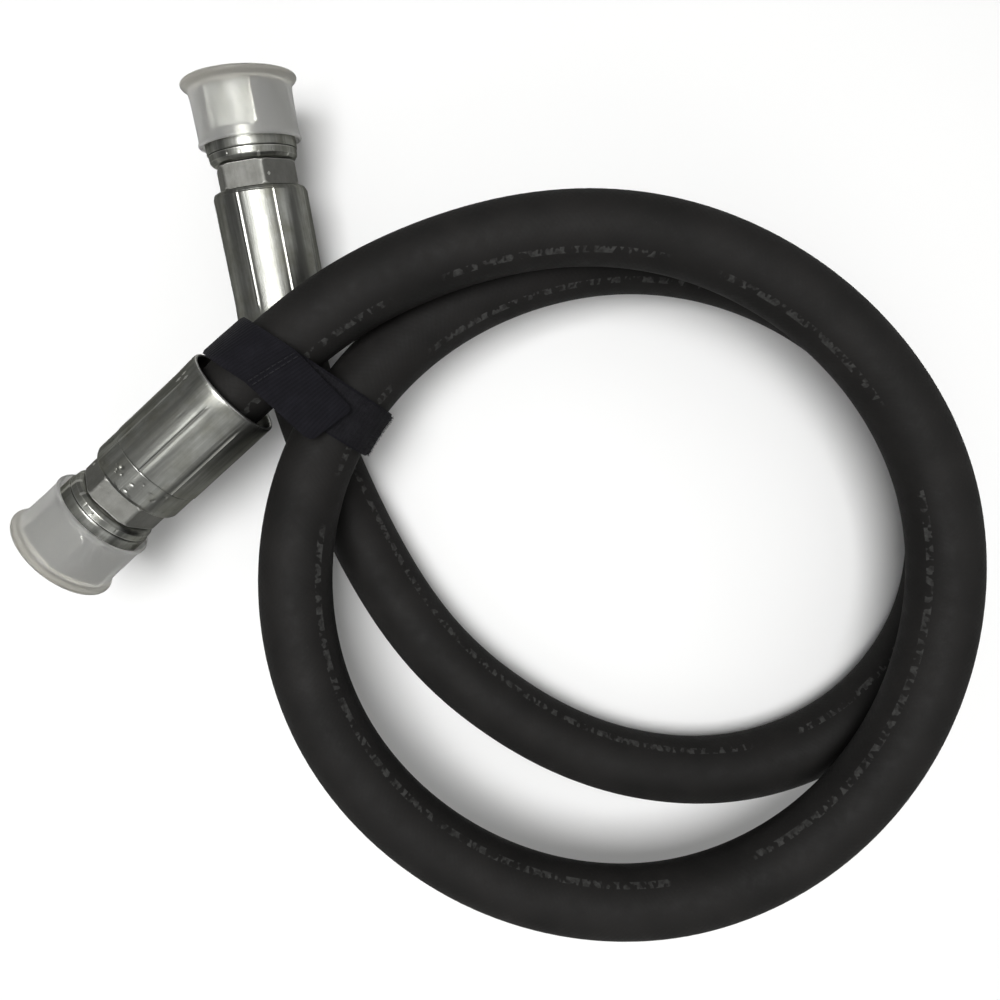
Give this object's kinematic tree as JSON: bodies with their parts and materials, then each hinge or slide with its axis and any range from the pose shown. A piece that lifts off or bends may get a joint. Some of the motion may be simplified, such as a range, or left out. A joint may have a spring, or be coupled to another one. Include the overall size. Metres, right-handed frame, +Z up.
{
  "type": "hydraulic hose assembly",
  "caption": "Black textile-braid hydraulic hose coiled and strapped, with crimped ferrules, female swivel nuts and push-on clear caps at both ends.",
  "frame": {"origin": "bottom centre of the whole part's bounding box, on the surface it lies on", "axes": "+Z up out of the surface it lies on, +X across the picture to the right, +Y up the picture"},
  "size_m": [0.32, 0.2852, 0.0643],
  "materials": {
    "rubber_cover": "matte black, faintly speckled",
    "textile_braid": "off-white yarn",
    "inner_rubber": "smooth black",
    "zinc_bright": "zinc plated, bright",
    "zinc_dull": "zinc plated, dull",
    "clear_cap": "milky translucent, soft",
    "webbing": "ribbed navy-black webbing",
    "hook_pile": "fine hooks",
    "loop_pile": "brushed loops"
  },
  "bodies": {
    "hose": {"hose_cover": "rubber_cover", "hose_braid": "textile_braid", "hose_inner_tube": "inner_rubber", "upper_ferrule": "zinc_bright", "upper_insert": "zinc_dull", "lower_ferrule": "zinc_bright", "lower_insert": "zinc_dull", "strap_band": "webbing", "strap_loop_tape": "loop_pile"},
    "upper_nut": {"upper_swivel_nut": "zinc_bright"},
    "lower_nut": {"lower_swivel_nut": "zinc_bright"},
    "upper_cap": {"upper_cap": "clear_cap"},
    "lower_cap": {"lower_cap": "clear_cap"},
    "strap_flap": {"strap_tail": "webbing", "strap_hook_tape": "hook_pile"}
  },
  "joints": [
    {"name": "upper_nut_spin", "type": "hinge", "parent": "hose", "child": "upper_nut", "pos_m": [-0.08998, 0.12446, 0.03172], "axis": [-0.135, 0.9609, 0.2419], "continuous": true},
    {"name": "lower_nut_spin", "type": "hinge", "parent": "hose", "child": "lower_nut", "pos_m": [-0.13799, -0.00841, 0.03921], "axis": [-0.7506, -0.6525, -0.1045], "continuous": true},
    {"name": "upper_cap_pull", "type": "slide", "parent": "upper_nut", "child": "upper_cap", "axis": [-0.135, 0.9609, 0.2419], "range_m": [0, 0.045]},
    {"name": "lower_cap_pull", "type": "slide", "parent": "lower_nut", "child": "lower_cap", "axis": [-0.7506, -0.6525, -0.1045], "range_m": [0, 0.045]},
    {"name": "strap_peel", "type": "hinge", "parent": "hose", "child": "strap_flap", "pos_m": [-0.07317, 0.03881, 0.06212], "axis": [-0.8531, -0.5216, -0.0126], "range_deg": [0, 80]}
  ]
}
